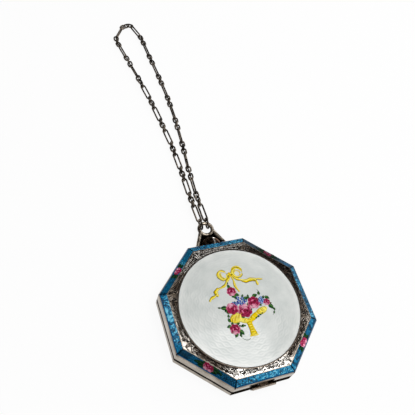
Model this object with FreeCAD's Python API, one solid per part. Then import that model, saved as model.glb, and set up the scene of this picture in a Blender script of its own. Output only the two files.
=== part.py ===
import FreeCAD, Part
import math
import os

os.makedirs("parts", exist_ok=True)
Vec = FreeCAD.Vector
Turn = FreeCAD.Rotation
across = Vec(1, 0, 0)
along = Vec(0, 1, 0)
upward = Vec(0, 0, 1)

# Lengths are in mm. The case stands on z = 0 with the chain towards +Y and the hinge towards -Y.
full_turn = 360
half_turn = 180
quarter_turn = 90
side_count = 8
side_turn = full_turn / side_count
half_side = math.tan(math.pi / side_count)
overrun = 1.0

# Base tray and its closing rim
case_apothem = 24.6
base_height = 3.3
base_wall = 0.7
base_floor = 0.6
base_bevel_width = 0.9
base_bevel_height = 0.6
inner_slope_width = 0.9
inner_slope_height = 0.6
rim_wall = 0.5
rim_rise = 1.4
rim_fit = 0.2
hinge_relief = 0.15
seam_gap = 0.15
seam_bevel = 0.12

# Lid: wall, lip, bevel and flat top
lid_wall_height = 4.1
lip_width = 0.45
lip_height = 0.7
bevel_width = 1.95
bevel_rise = 0.88
lid_metal = 1.45
inner_bevel_width = 2.35
inner_bevel_rise = 1.4

# Enamel panels on the bevel
panel_depth = 0.35
panel_margin = 0.12
mitre_margin = 0.2

# Domed disc, the raised collar round it and the sunk corners
corner_least_width = 1.2
disc_seat = 0.45
disc_edge_rise = 0.4
disc_crown = 0.8
collar_width = 0.3
collar_rise = 0.45
border_width = 0.4
corner_depth = 0.12

# Mirror, its card and its frame
mirror_thickness = 1.1
frame_drop = 0.05
frame_plate = 0.55
frame_fit = 0.1
frame_overlap = 0.7
frame_upstand = 0.5
upstand_height = 1.1
glass_fit = 0.1
upstand_clear = 0.2

# Hinge
knuckle_radius = 0.55
knuckle_clear = 0.12
hinge_inset = 6.2
knuckle_shares = (0.33, 0.34, 0.33)
knuckle_gap = 0.1
web_height = 0.7
hinge_lift = 0.9
pin_radius = 0.28
pin_fit = 0.02
pin_running_fit = 0.04
pin_overhang = 0.15

# Powder well, pan, powder and puff
well_fit = 0.1
well_plate = 0.4
well_height = 2.4
well_margin = 4.6
well_wall = 0.4
pan_fit = 0.2
pan_height = 1.7
pan_wall = 0.3
powder_height = 1.0
powder_crown = 0.25
puff_margin = 1.1
puff_edge = 1.3
puff_bulge = 0.6
puff_sole = 0.35
puff_crown = 1.0
ribbon_width = 6.0
ribbon_thickness = 0.2

# Push piece, catch spring and catch plate
mount_drop = 0.95
push_width_share = 1.78
push_height = 1.9
push_clear = 0.45
push_travel = 0.7
push_stop = 0.15
push_round = 0.7
stem_radius = 0.55
stem_fit = 0.08
washer_radius = 1.0
washer_thickness = 0.4
washer_gap = 0.1
spring_gap = 0.08
spring_thickness = 0.25
spring_low = 1.75
spring_high = 2.95
spring_free = 2.5
spring_inset = 0.69
spring_foot = 1.4
nose_half_width = 1.8
nose_height = 0.45
nose_bite = 0.45
plate_half_width = 2.2
plate_low = 0.2
plate_height = 0.6
plate_depth = 0.8
plate_gap = 0.15
notch_gap = 0.5

# Chain lug: a ring on two spread legs, with a web between them under the push piece
lug_ring_radius = 2.4
lug_bar_radius = 0.65
lug_reach = 8.4
lug_spread = 5.9
lug_leg_turn = 20
foot_half_width = 0.9
foot_half_height = 0.75
foot_thickness = 0.5
leg_bury = 0.15
web_thickness = 0.5
web_gap = 0.2
leg_wall = 0.8
web_shoulder_share = 0.08

# Chain: end links, long links and small links of one wire
chain_wire = 0.65
chain_gap = 0.15
long_length = 8.3
long_play = 0.35
small_length = 3.3
small_play = 0.45
end_room = 0.26
end_play = 1.35
end_share = 0.686
rest_height = 1.31
slope_pitches = 2
smalls_between = 3
link_pairs = 8

# The chain's lie on the table, in shares of its pitch: (along the chain, sideways)
left_lie_shares = (
    (0.7, -0.105),
    (1, -0.105),
    (2, -0.08),
    (3, -0.1),
    (4, -0.185),
    (5, -0.29),
    (6, -0.44),
    (7, -0.615),
)
right_lie_shares = (
    (0.7, 0.1),
    (1, 0.1),
    (2, 0.172),
    (3, 0.265),
    (4, 0.325),
    (5, 0.335),
    (6, 0.29),
    (7, 0.22),
)
right_end_share = 0.185

# Roll in degrees of each long link about its own length, 0 lying flat
left_rolls = (0, 0, 0, 0, 0, 0, 45, 90)
right_rolls = (0, 45, 90, 90, 90, 90, 90, 90)

# Lean in degrees, towards the other strand, of the links that climb each half of the far loop
left_leans = (-10, -4, 10, 33, 48)
right_leans = (2, 6, 10, 18, 66)

# Heights and apothems that follow from the sizes above
lid_low = base_height + seam_gap
shoulder = lid_low + lid_wall_height
lid_top = shoulder + bevel_rise
bevel_low_apothem = case_apothem - lip_width
bevel_top_apothem = bevel_low_apothem - bevel_width
disc_radius = bevel_top_apothem - border_width - corner_least_width - collar_width
rim_apothem = case_apothem - base_wall
rim_inside = rim_apothem - rim_wall
rim_foot = base_floor + inner_slope_height
lid_inside = rim_apothem + rim_fit
inner_shoulder = shoulder - lid_metal
inner_top = inner_shoulder + inner_bevel_rise
inner_top_apothem = lid_inside - inner_bevel_width
mirror_apothem = inner_top_apothem - upstand_clear - frame_upstand - glass_fit
mirror_low = inner_shoulder - frame_drop
mirror_top = mirror_low + mirror_thickness
frame_low = mirror_low - frame_plate
mount_height = base_height - mount_drop
hinge_half = case_apothem * half_side - hinge_inset
hinge_height = base_height + hinge_lift
hinge_back = -(case_apothem + knuckle_clear + knuckle_radius)
well_radius = rim_inside - well_margin
well_low = base_floor
well_top = base_floor + well_height
pan_radius = well_radius - well_wall - pan_fit
powder_radius = pan_radius - pan_wall
puff_radius = powder_radius - puff_margin
powder_low = base_floor + pan_wall
powder_top = powder_low + powder_height
spring_fixed = rim_inside * half_side - spring_inset
lug_ring_y = case_apothem + lug_reach
lug_hole = lug_ring_radius - lug_bar_radius
lug_outside = lug_ring_radius + lug_bar_radius
wire_radius = chain_wire / 2
link_step = chain_wire + chain_gap
end_offset = end_share * lug_hole


def octagon(apothem, z):
    corner = apothem * half_side
    start = Vec(corner, apothem, z)
    points = [Turn(upward, side_turn * k).multVec(start) for k in range(side_count)]
    return Part.makePolygon(points + points[:1])


def prism(apothem, low, high):
    return Part.Face(octagon(apothem, low)).extrude(upward * (high - low))


def frustum(low_apothem, low, high_apothem, high):
    return Part.makeLoft([octagon(low_apothem, low), octagon(high_apothem, high)], True, True)


def drum(radius, low, high):
    return Part.makeCylinder(radius, high - low, upward * low)


def block(left, right, back, front, low, high):
    return Part.makeBox(right - left, front - back, high - low, Vec(left, back, low))


def rod_across(radius, left, right, y, z):
    return Part.makeCylinder(radius, right - left, Vec(left, y, z), across)


def rod_along(radius, back, front, z):
    return Part.makeCylinder(radius, front - back, Vec(0, back, z), along)


def spun(edges):
    face = Part.Face(Part.Wire(Part.__sortEdges__(edges)))
    return face.revolve(Vec(0, 0, 0), upward, full_turn)


def line(first, second):
    return Part.makeLine(first, second)


def arc(first, middle, last):
    return Part.Arc(first, middle, last).toShape()


def crown_arc(radius, edge_z, rise):
    sphere = (radius ** 2 + rise ** 2) / (2 * abs(rise))
    middle = radius / 2
    sink = math.copysign(sphere - math.sqrt(sphere ** 2 - middle ** 2), rise)
    centre_z = edge_z + rise
    points = (Vec(radius, 0, edge_z), Vec(middle, 0, centre_z - sink), Vec(0, 0, centre_z))
    return arc(*points)


def edges_at(shape, z, apothem):
    found = []
    for edge in shape.Edges:
        middle = edge.CenterOfMass
        level = abs(middle.z - z) < seam_bevel / 2
        outside = abs(middle.Length - math.hypot(apothem, z)) < seam_bevel / 2
        if level and outside:
            found.append(edge)
    return found


def save(name, *solids):
    shape = solids[0] if len(solids) == 1 else Part.makeCompound(list(solids))
    shape.exportStep("parts/" + name + ".step")


# Base tray with a bevel below, a softened seam edge and the stem's hole
tray = prism(case_apothem, base_bevel_height, base_height)
tray = tray.makeChamfer(seam_bevel, edges_at(tray, base_height, case_apothem))
tray = tray.fuse(frustum(case_apothem - base_bevel_width, 0, case_apothem, base_bevel_height))
tray = tray.cut(prism(rim_apothem, rim_foot, base_height + overrun))
tray = tray.cut(frustum(rim_apothem - inner_slope_width, base_floor, rim_apothem, rim_foot))
hole_radius = stem_radius + stem_fit
stem_hole = rod_along(hole_radius, rim_inside - overrun, case_apothem + overrun, mount_height)
save("base_shell", tray.cut(stem_hole))

# Closing rim, notched for the catch plate and thinned where the lid swings past it at the hinge
rim_top = base_height + rim_rise
rim = prism(rim_apothem, rim_foot, rim_top)
rim = rim.cut(prism(rim_inside, rim_foot - overrun, rim_top + overrun))
notch_half = plate_half_width + notch_gap
notch_back = rim_inside - overrun
notch = block(-notch_half, notch_half, notch_back, rim_apothem + overrun, lid_low, rim_top + overrun)
relief_half = rim_apothem * half_side + overrun
relief_front = hinge_relief - rim_apothem
relief = block(-relief_half, relief_half, -case_apothem, relief_front, base_height, rim_top + overrun)
save("closing_rim", rim.cut(notch).cut(relief).cut(stem_hole))

# Lid shell: wall, sloping lip and bevel outside, a like form hollowed out inside
lip_low = shoulder - lip_height
wall_block = prism(case_apothem, lid_low, lip_low)
wall_block = wall_block.makeChamfer(seam_bevel, edges_at(wall_block, lid_low, case_apothem))
lid = wall_block.fuse(frustum(case_apothem, lip_low, bevel_low_apothem, shoulder))
lid = lid.fuse(frustum(bevel_low_apothem, shoulder, bevel_top_apothem, lid_top))
collar_radius = disc_radius + collar_width
collar_top = lid_top + collar_rise
corners = prism(bevel_top_apothem - border_width, lid_top - corner_depth, lid_top + overrun)
lid = lid.cut(corners.cut(drum(collar_radius, inner_top, lid_top + overrun)))
lid = lid.fuse(drum(collar_radius, lid_top - disc_seat, collar_top))
lid = lid.cut(prism(lid_inside, lid_low - overrun, inner_shoulder))
lid = lid.cut(frustum(lid_inside, inner_shoulder, inner_top_apothem, inner_top))
lid = lid.cut(drum(disc_radius, lid_top - disc_seat, collar_top + overrun))

# Enamel panels: each is a flat plate let into one side of the bevel
slope_length = math.hypot(bevel_width, bevel_rise)
slope_out = bevel_width / slope_length
slope_up = bevel_rise / slope_length
inward = Vec(0, -slope_up, -slope_out)


def panel_corner(step, hand):
    y = bevel_low_apothem - slope_out * step
    return Vec(hand * (y * half_side - mitre_margin), y, shoulder + slope_up * step)


def panel(side):
    low_step = panel_margin
    high_step = slope_length - panel_margin
    points = [
        panel_corner(low_step, -1),
        panel_corner(low_step, 1),
        panel_corner(high_step, 1),
        panel_corner(high_step, -1),
    ]
    plate = Part.Face(Part.makePolygon(points + points[:1])).extrude(inward * panel_depth)
    plate.rotate(Vec(0, 0, 0), upward, -side_turn * side)
    return plate


panels = [panel(side) for side in range(side_count)]
for plate in panels:
    lid = lid.cut(plate)
save("lid_shell", lid)
save("plain_enamel_panels", *panels[0::2])
save("rose_enamel_panels", *panels[1::2])

# White enamel disc with a low dome
disc_low = lid_top - disc_seat
disc_edge = lid_top + disc_edge_rise
disc = spun([
    line(Vec(0, 0, disc_low), Vec(disc_radius, 0, disc_low)),
    line(Vec(disc_radius, 0, disc_low), Vec(disc_radius, 0, disc_edge)),
    crown_arc(disc_radius, disc_edge, disc_crown),
    line(Vec(0, 0, disc_edge + disc_crown), Vec(0, 0, disc_low)),
])
save("white_enamel_disc", disc)

# Mirror, the card behind it and the frame pressed into the lid's wall
save("mirror_card", prism(mirror_apothem, mirror_top, inner_top))
save("mirror_glass", prism(mirror_apothem, mirror_low, mirror_top))
frame = prism(lid_inside - frame_fit, frame_low, mirror_low)
upstand = prism(mirror_apothem + glass_fit + frame_upstand, mirror_low, mirror_low + upstand_height)
upstand = upstand.cut(prism(mirror_apothem + glass_fit, mirror_low, mirror_low + upstand_height))
frame = frame.cut(prism(mirror_apothem - frame_overlap, frame_low - overrun, mirror_low + overrun))
save("mirror_frame", frame.fuse(upstand).removeSplitter())

# Catch plate on the inside of the lid's wall
catch_low = lid_low + plate_low
catch_top = catch_low + plate_height
catch_back = lid_inside - plate_depth
catch_plate = block(-plate_half_width, plate_half_width, catch_back, lid_inside, catch_low, catch_top)
save("catch_plate", catch_plate)

# Hinge knuckles, each on webs to its own wall, and the pin
last_knuckle = len(knuckle_shares) - 1
knuckle_room = hinge_half + hinge_half - last_knuckle * knuckle_gap
wall_back = -case_apothem


def knuckle(place, bore, webs):
    left = sum(knuckle_shares[:place]) * knuckle_room + place * knuckle_gap - hinge_half
    right = left + knuckle_shares[place] * knuckle_room
    tube = rod_across(knuckle_radius, left, right, hinge_back, hinge_height)
    for front, low, high in webs:
        tube = tube.fuse(block(left, right, hinge_back, front, low, high))
    hole = rod_across(bore, left - overrun, right + overrun, hinge_back, hinge_height)
    return tube.cut(hole).removeSplitter()


base_web_top = base_height - seam_bevel
base_web_low = base_web_top - web_height
base_webs = (
    (wall_back, base_web_low, base_web_top),
    (hinge_back + knuckle_radius, base_web_low, hinge_height),
)
lid_webs = ((wall_back, hinge_height, hinge_height + web_height),)
base_bore = pin_radius + pin_fit
save("base_knuckles", *[knuckle(place, base_bore, base_webs) for place in (0, last_knuckle)])
save("lid_knuckle", knuckle(1, pin_radius + pin_running_fit, lid_webs))
pin_end = hinge_half + pin_overhang
save("hinge_pin", rod_across(pin_radius, -pin_end, pin_end, hinge_back, hinge_height))

# Powder well: an octagonal plate on a round cup, notched for the catch spring
well = prism(rim_inside - well_fit, well_top - well_plate, well_top)
well = well.fuse(drum(well_radius, well_low, well_top))
well = well.cut(drum(well_radius - well_wall, well_low - overrun, well_top + overrun))
spring_back = rim_inside - washer_gap - washer_thickness - spring_gap - spring_thickness
room_back = spring_back - push_travel - notch_gap
room_left = -(spring_fixed + notch_gap)
room_right = spring_free + notch_gap
room_low = well_top - well_plate - overrun
room_top = well_top + overrun
room = block(room_left, room_right, room_back, rim_inside + overrun, room_low, room_top)
save("powder_well", well.cut(room).removeSplitter())

# Pan, pressed powder and puff, stacked in the well
pan = drum(pan_radius, base_floor, base_floor + pan_height)
pan = pan.cut(drum(pan_radius - pan_wall, powder_low, base_floor + pan_height + overrun))
save("powder_pan", pan)
powder = spun([
    line(Vec(0, 0, powder_low), Vec(powder_radius, 0, powder_low)),
    line(Vec(powder_radius, 0, powder_low), Vec(powder_radius, 0, powder_top)),
    crown_arc(powder_radius, powder_top, powder_crown),
    line(Vec(0, 0, powder_top + powder_crown), Vec(0, 0, powder_low)),
])
save("pressed_powder", powder)
puff_low = powder_top + powder_crown
sole_edge = puff_low + puff_sole
crown_edge = sole_edge + puff_edge
face_radius = puff_radius - puff_bulge
side_middle = Vec(puff_radius, 0, (sole_edge + crown_edge) / 2)
puff = spun([
    crown_arc(face_radius, sole_edge, -puff_sole),
    arc(Vec(face_radius, 0, sole_edge), side_middle, Vec(face_radius, 0, crown_edge)),
    crown_arc(face_radius, crown_edge, puff_crown),
    line(Vec(0, 0, crown_edge + puff_crown), Vec(0, 0, puff_low)),
])
save("powder_puff", puff)
ribbon_edge = crown_edge + ribbon_thickness
ribbon = spun([
    crown_arc(face_radius, crown_edge, puff_crown),
    line(Vec(0, 0, crown_edge + puff_crown), Vec(0, 0, ribbon_edge + puff_crown)),
    crown_arc(face_radius, ribbon_edge, puff_crown),
    line(Vec(face_radius, 0, ribbon_edge), Vec(face_radius, 0, crown_edge)),
])
ribbon_half = ribbon_width / 2
strip = block(-ribbon_half, ribbon_half, -puff_radius, puff_radius, 0, lid_top)
save("puff_ribbon", ribbon.common(strip))

# Push piece: an arched cap outside the wall on a stem through it, held by a washer
cap_back = case_apothem + push_travel + push_stop
cap_tip = lug_ring_y - lug_outside - push_clear
cap_half = push_width_share * (cap_tip - cap_back) / 2
cap_low = mount_height - push_height / 2
arch_y = cap_tip - cap_half
back_left = Vec(-cap_half, cap_back, cap_low)
back_right = Vec(cap_half, cap_back, cap_low)
arch_left = Vec(-cap_half, arch_y, cap_low)
arch_right = Vec(cap_half, arch_y, cap_low)
outline = Part.Wire([
    line(back_left, back_right),
    line(back_right, arch_right),
    arc(arch_right, Vec(0, cap_tip, cap_low), arch_left),
    line(arch_left, back_left),
])
cap = Part.Face(outline).extrude(upward * push_height)


def is_rim(edge):
    middle = edge.CenterOfMass
    outside = middle.y > cap_back + seam_bevel
    between = abs(middle.z - mount_height) < seam_bevel
    return outside and not between


cap = cap.makeFillet(push_round, [edge for edge in cap.Edges if is_rim(edge)])
washer_front = rim_inside - washer_gap
stem_end = washer_front - washer_thickness
cap = cap.fuse(rod_along(stem_radius, stem_end, cap_back, mount_height)).removeSplitter()
save("push_piece", cap)
washer = rod_along(washer_radius, stem_end, washer_front, mount_height)
washer_bore = rod_along(stem_radius, stem_end - overrun, washer_front + overrun, mount_height)
save("push_washer", washer.cut(washer_bore))

# Catch spring: a leaf fixed at one end, with a tongue and a nose over the catch plate
spring_front = spring_back + spring_thickness
nose_low = catch_top + plate_gap
nose_top = nose_low + nose_height
leaf = block(-spring_fixed, spring_free, spring_back, spring_front, spring_low, spring_high)
foot = block(-spring_fixed, -spring_fixed + spring_foot, spring_front, rim_inside, spring_low, spring_high)
tongue = block(-nose_half_width, nose_half_width, spring_back, spring_front, spring_high, nose_top)
nose = block(-nose_half_width, nose_half_width, spring_front, catch_back + nose_bite, nose_low, nose_top)
save("catch_spring", leaf.fuse([foot, tongue, nose]).removeSplitter())

# Chain lug: the ring, two spread legs standing on a web, and their feet on the base's wall
ring_centre = Vec(0, lug_ring_y, mount_height)
web_top = cap_low - web_gap
web_low = web_top - web_thickness
web_corners = [Vec(-lug_spread, case_apothem, web_low), Vec(lug_spread, case_apothem, web_low)]
lug = Part.makeTorus(lug_ring_radius, lug_bar_radius, ring_centre)
leg_out = lug_ring_radius * math.cos(math.radians(lug_leg_turn))
leg_down = lug_ring_radius * math.sin(math.radians(lug_leg_turn))
for hand in (-1, 1):
    top = ring_centre + Vec(hand * leg_out, -leg_down, 0)
    bottom = Vec(hand * lug_spread, case_apothem + foot_thickness - leg_bury, mount_height)
    leg = Part.makeCylinder(lug_bar_radius, (bottom - top).Length, top, bottom - top)
    foot_left = hand * lug_spread - foot_half_width
    foot_right = hand * lug_spread + foot_half_width
    foot_low = mount_height - foot_half_height
    foot_high = mount_height + foot_half_height
    pad = block(foot_left, foot_right, case_apothem, case_apothem + foot_thickness, foot_low, foot_high)
    leg_run = bottom - top
    leg_side = Vec(-leg_run.y, leg_run.x, 0).normalize() * (leg_wall / 2)
    leg_foot = bottom - Vec(0, foot_thickness - leg_bury, 0)
    wall_corners = [top + leg_side, leg_foot + leg_side, leg_foot - leg_side, top - leg_side, top + leg_side]
    wall_face = Part.Face(Part.makePolygon([Vec(p.x, max(p.y, case_apothem), web_low) for p in wall_corners]))
    wall = wall_face.extrude(upward * (mount_height - web_gap - web_low))
    lug = lug.fuse([leg, pad, wall])
    shoulder = top + leg_run * web_shoulder_share
    web_corners.insert(2, Vec(shoulder.x, shoulder.y, web_low))
web_outline = Part.makePolygon(web_corners + web_corners[:1])
web = Part.Face(web_outline).extrude(upward * web_thickness)
eye_bore = Part.makeCylinder(lug_ring_radius - web_gap, mount_height, Vec(0, lug_ring_y, 0))
lug = lug.fuse(web.cut(eye_bore))
save("chain_lug", lug)


# Chain links: each has two straight sides and two round ends
def oval(length, width):
    bend = (width - chain_wire) / 2
    reach = (length - chain_wire) / 2 - bend
    far_end = Part.makeTorus(bend, wire_radius, along * reach, upward, 0, full_turn, half_turn)
    near_end = far_end.copy()
    near_end.rotate(Vec(0, 0, 0), upward, half_turn)
    sides = [
        Part.makeCylinder(wire_radius, reach + reach, Vec(hand * bend, -reach, 0), along)
        for hand in (-1, 1)
    ]
    return far_end.fuse([near_end] + sides).removeSplitter()


def width_for(play):
    return chain_wire + chain_wire + chain_wire + play


long_pattern = oval(long_length, width_for(long_play))
small_pattern = oval(small_length, width_for(small_play))


def laid(pattern, start, end, roll):
    run = end - start
    heading = math.degrees(math.atan2(-run.x, run.y))
    slope = math.degrees(math.atan2(run.z, math.hypot(run.x, run.y)))
    turn = Turn(upward, heading) * Turn(across, slope) * Turn(along, roll)
    link = pattern.copy()
    link.Placement = FreeCAD.Placement((start + end) / 2, turn)
    return link


def hold(length):
    return length - chain_wire - link_step


# End links stand on edge, hooked round the far side of the lug's ring
band_y = lug_ring_y + math.sqrt(lug_hole ** 2 - (end_offset + wire_radius) ** 2)
end_near = band_y - wire_radius - chain_gap
ring_far = lug_ring_y + math.sqrt(lug_outside ** 2 - end_offset ** 2)
end_far = ring_far + end_room + wire_radius + link_step
end_pattern = oval(end_far - end_near + chain_wire, width_for(end_play))


def end_link(x):
    near = Vec(x, end_near, mount_height)
    far = Vec(x, end_far, mount_height)
    return laid(end_pattern, near, far, quarter_turn)


save("chain_end_links", end_link(-end_offset), end_link(end_offset))

# Points where one link bears on the next, down each strand
long_hold = hold(long_length)
small_hold = hold(small_length)
chain_pitch = long_hold + smalls_between * small_hold
chain_start = end_far - link_step / 2
last_share = link_pairs - 1 + long_hold / chain_pitch

# Far loop: links lying flat and links on edge turn by turn, pivoting on the wires that stand on edge
flat_small = small_length - chain_wire - link_step - link_step
edge_small = small_length - chain_wire
edge_long = long_length - chain_wire
loop_spans = (flat_small, edge_small, flat_small, edge_long, flat_small)


def climb(leans, hand):
    steps = []
    for span, lean in zip(loop_spans, leans):
        turn = math.radians(lean)
        steps.append(Vec(hand * span * math.sin(turn), span * math.cos(turn), 0))
    return steps


left_climb = climb(left_leans, 1)
right_climb = climb(right_leans, -1)
left_rise = sum(step.y for step in left_climb)
right_rise = sum(step.y for step in right_climb)
top_run = math.sqrt(edge_small ** 2 - (left_rise - right_rise) ** 2)
loop_width = sum(step.x for step in left_climb) - sum(step.x for step in right_climb) + top_run
right_end = right_end_share * chain_pitch
left_end = right_end - loop_width


def lie(shares, end_x, share):
    start_x = math.copysign(end_offset, shares[0][1])
    stations = [(0, start_x / chain_pitch)] + list(shares) + [(last_share, end_x / chain_pitch)]
    for (low, low_x), (high, high_x) in zip(stations, stations[1:]):
        if share <= high:
            return (low_x + (high_x - low_x) * (share - low) / (high - low)) * chain_pitch
    return end_x


def bearing(shares, end_x, share):
    drop = min(share / slope_pitches, 1) * (mount_height - rest_height)
    return Vec(lie(shares, end_x, share), chain_start + share * chain_pitch, mount_height - drop)


def strand(shares, end_x, rolls):
    longs = []
    smalls = []
    for pair in range(link_pairs):
        start = bearing(shares, end_x, pair)
        end = bearing(shares, end_x, pair + long_hold / chain_pitch)
        longs.append(laid(long_pattern, start, end, rolls[pair]))
        if pair == link_pairs - 1:
            break
        twist = (rolls[pair + 1] - rolls[pair]) / 2
        small_rolls = (
            rolls[pair] + quarter_turn,
            rolls[pair] + twist,
            rolls[pair + 1] + quarter_turn,
        )
        group = []
        for place, roll in enumerate(small_rolls):
            reach = long_hold + place * small_hold
            start = bearing(shares, end_x, pair + reach / chain_pitch)
            end = bearing(shares, end_x, pair + (reach + small_hold) / chain_pitch)
            group.append(laid(small_pattern, start, end, roll))
        smalls.append(group)
    return longs, smalls


left_longs, left_smalls = strand(left_lie_shares, left_end, left_rolls)
right_longs, right_smalls = strand(right_lie_shares, right_end, right_rolls)
for pair in range(link_pairs):
    save("long_links_" + str(pair + 1), left_longs[pair], right_longs[pair])
for pair in range(link_pairs - 1):
    save("small_links_" + str(pair + 1), *left_smalls[pair], *right_smalls[pair])

loop_y = chain_start + last_share * chain_pitch + link_step / 2
loop_longs = []
loop_smalls = []
tops = []
for foot_x, steps in ((left_end, left_climb), (right_end, right_climb)):
    foot = Vec(foot_x, loop_y, rest_height)
    for place, step in enumerate(steps):
        roll = quarter_turn * (place % 2)
        if loop_spans[place] == edge_long:
            loop_longs.append(laid(long_pattern, foot, foot + step, roll))
        else:
            loop_smalls.append(laid(small_pattern, foot, foot + step, roll))
        foot = foot + step
    tops.append(foot)
loop_smalls.append(laid(small_pattern, tops[0], tops[1], quarter_turn))
save("loop_long_links", *loop_longs)
save("loop_small_links", *loop_smalls)
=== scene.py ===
import math

import bpy
import numpy as np
from mathutils import Matrix, Vector


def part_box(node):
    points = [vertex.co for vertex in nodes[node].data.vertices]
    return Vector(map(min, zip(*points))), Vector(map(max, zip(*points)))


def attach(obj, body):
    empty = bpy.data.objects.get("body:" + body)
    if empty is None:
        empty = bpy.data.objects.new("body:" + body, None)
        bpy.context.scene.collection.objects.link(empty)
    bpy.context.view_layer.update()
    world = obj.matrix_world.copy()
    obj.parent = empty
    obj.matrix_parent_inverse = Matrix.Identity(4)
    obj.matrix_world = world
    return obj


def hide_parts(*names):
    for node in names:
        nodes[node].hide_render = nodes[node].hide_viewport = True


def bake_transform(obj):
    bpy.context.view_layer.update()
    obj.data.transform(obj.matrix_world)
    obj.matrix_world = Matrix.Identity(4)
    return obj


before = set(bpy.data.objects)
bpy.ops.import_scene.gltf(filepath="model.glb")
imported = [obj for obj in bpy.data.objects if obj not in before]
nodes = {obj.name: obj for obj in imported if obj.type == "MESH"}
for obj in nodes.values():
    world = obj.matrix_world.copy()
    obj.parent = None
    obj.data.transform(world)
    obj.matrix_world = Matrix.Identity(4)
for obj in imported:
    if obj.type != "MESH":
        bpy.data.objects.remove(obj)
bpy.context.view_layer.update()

scene = bpy.context.scene
scene.view_settings.view_transform = "Standard"
mm = 0.001
rng = np.random.default_rng(12)
print("frame loaded:", len(nodes), "nodes")

# shared places on the case in mm
discLow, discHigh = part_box("white_enamel_disc")
case = dict(
    discRadius=discHigh.x / mm, discFoot=discLow.z / mm, discTop=discHigh.z / mm, discCrown=0.8,
    collarRadius=discHigh.x / mm + 0.3, cornerFloor=8.31, borderApothem=21.8,
    bevelTilt=math.atan2(0.88, 1.95), bevelApothem=23.175, bevelMiddle=7.99,
    seam=3.38, sides=8, sideAngle=45.0,
)


def toLinear(hexColour):
    # a screen colour such as "c8486e" as linear light
    srgb = np.array([int(hexColour[i:i + 2], 16) for i in (0, 2, 4)]) / 255
    return np.where(srgb <= 0.04045, srgb / 12.92, ((srgb + 0.055) / 1.055) ** 2.4)


def ray(degrees):
    # cosine and sine of an angle in degrees
    return math.cos(math.radians(degrees)), math.sin(math.radians(degrees))


def gridQuads(rows, columns, closed=False):
    # quads between neighbours in a grid of rings, the last ring joined to the first where closed
    i, j = np.meshgrid(np.arange(rows - (not closed)), np.arange(columns), indexing="ij")
    iNext, jNext = (i + 1) % rows, (j + 1) % columns
    corners = [i * columns + j, i * columns + jNext, iNext * columns + jNext, iNext * columns + j]
    return np.stack(corners, -1).reshape(-1, 4)


def makeMesh(name, points, quads, tris=np.zeros((0, 3), int), paint=None):
    # smooth mesh from points in mm, quads and triangles; paint is a colour per point
    mesh = bpy.data.meshes.new(name)
    mesh.vertices.add(len(points))
    mesh.vertices.foreach_set("co", np.asarray(points, np.float32).ravel() * np.float32(mm))
    loops = np.concatenate([quads.ravel(), tris.ravel()]).astype(np.int32)
    starts = np.concatenate([np.arange(len(quads)) * 4, quads.size + np.arange(len(tris)) * 3]).astype(np.int32)
    mesh.loops.add(len(loops))
    mesh.loops.foreach_set("vertex_index", loops)
    mesh.polygons.add(len(starts))
    mesh.polygons.foreach_set("loop_start", starts)
    mesh.polygons.foreach_set("use_smooth", np.ones(len(starts), bool))
    mesh.update(calc_edges=True)
    if paint is not None:
        colours = np.concatenate([paint, np.ones((len(paint), 1))], 1).astype(np.float32)
        mesh.attributes.new("paint", "FLOAT_COLOR", "POINT").data.foreach_set("color", colours.ravel())
    return mesh


def addPiece(name, mesh, finish, body, stands=()):
    # a piece with finish, the CAD nodes it stands for and the body it rides on
    piece = bpy.data.objects.new(name, mesh)
    scene.collection.objects.link(piece)
    mesh.materials.append(finish)
    if stands:
        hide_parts(*stands)
    if body:
        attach(piece, body)
    return piece


def tubeFaces(rings, sides):
    # quads between rings of sides points each, and triangles to two poles that follow them
    j = np.arange(sides)
    jNext = (j + 1) % sides
    low, top = np.full(sides, rings * sides), (rings - 1) * sides
    tris = np.concatenate([np.stack([low, jNext, j], -1), np.stack([low + 1, top + j, top + jNext], -1)])
    return gridQuads(rings, sides), tris


def spin(profile, around):
    # profile (radius, height) turned about z in equal steps; its first and last points become poles
    turn = np.arange(around) * 2 * np.pi / around
    radius, height = profile[1:-1, 0, None], profile[1:-1, 1, None]
    rings = np.stack([radius * np.cos(turn), radius * np.sin(turn), height + 0 * turn], -1)
    points = np.concatenate([rings.reshape(-1, 3), [[0, 0, profile[0, 1]], [0, 0, profile[-1, 1]]]])
    return points, *tubeFaces(len(rings), around)


active = {}


def startTree(owner):
    # empties the nodes of a material or world, to which put then adds
    owner.use_nodes = True
    owner.node_tree.nodes.clear()
    active["owner"] = owner


def plug(node, sockets):
    # each input takes a value or another node's output
    for key, value in sockets.items():
        if isinstance(value, bpy.types.NodeSocket):
            active["owner"].node_tree.links.new(value, node.inputs[key])
        else:
            node.inputs[key].default_value = value


def put(kind, sockets=None, **settings):
    # one node with settings and inputs
    made = active["owner"].node_tree.nodes.new("ShaderNode" + kind)
    for key, value in settings.items():
        setattr(made, key, value)
    plug(made, sockets or {})
    return made


def newFinish(name):
    # a material's one shader, and object coordinates in mm: vector, x, y, z
    startTree(bpy.data.materials.new(name))
    shader = put("BsdfPrincipled")
    plug(put("OutputMaterial"), {0: shader.outputs[0]})
    coordinate = put("TexCoord").outputs["Object"]
    vector = put("VectorMath", {0: coordinate, "Scale": 1 / mm}, operation="SCALE").outputs[0]
    return shader, vector, *put("SeparateXYZ", {0: vector}).outputs


def finished(shader, sockets, height=None, strength=0.0, distance=0.0):
    # sets the inputs, adds relief of height times distance in m, and gives the material
    plug(shader, sockets)
    if height is not None:
        bump = put("Bump", {"Height": height, "Strength": strength, "Distance": distance})
        plug(shader, {"Normal": bump.outputs[0]})
    return active["owner"]


def calc(operation, *values):
    # one step of arithmetic
    return put("Math", dict(enumerate(values)), operation=operation).outputs[0]


def plus(first, second):
    # first + second
    return calc("ADD", first, second)


def times(first, second):
    # first times second
    return calc("MULTIPLY", first, second)


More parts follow.
